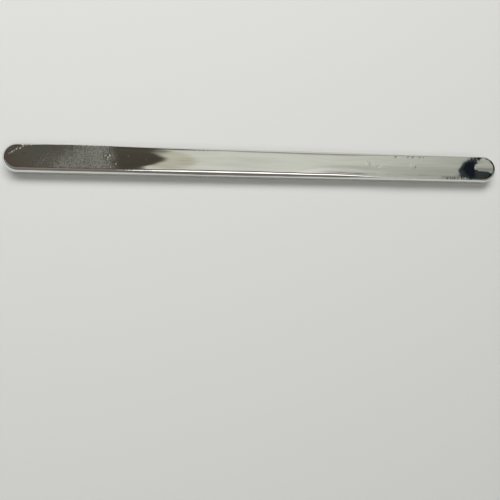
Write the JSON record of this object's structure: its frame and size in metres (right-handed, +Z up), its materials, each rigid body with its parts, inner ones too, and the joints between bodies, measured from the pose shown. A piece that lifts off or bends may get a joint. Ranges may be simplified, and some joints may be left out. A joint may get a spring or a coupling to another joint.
{
  "type": "solder bar",
  "caption": "Long slim bar of cast solder with round ends, leaning walls, a flat floor face and a bright open face with rounded shoulders and a pour pip.",
  "frame": {"origin": "middle of the flat floor face, under the centre of the bar's box", "axes": "+X along the bar towards the end with the pour pip, +Y across the bar, +Z up out of the open face"},
  "size_m": [0.335, 0.0186, 0.0106],
  "materials": {
    "solder": "bright as cast, mirror-like on the open face, with frosted patches"
  },
  "bodies": {
    "root": {"solder_bar": "solder"}
  },
  "joints": []
}
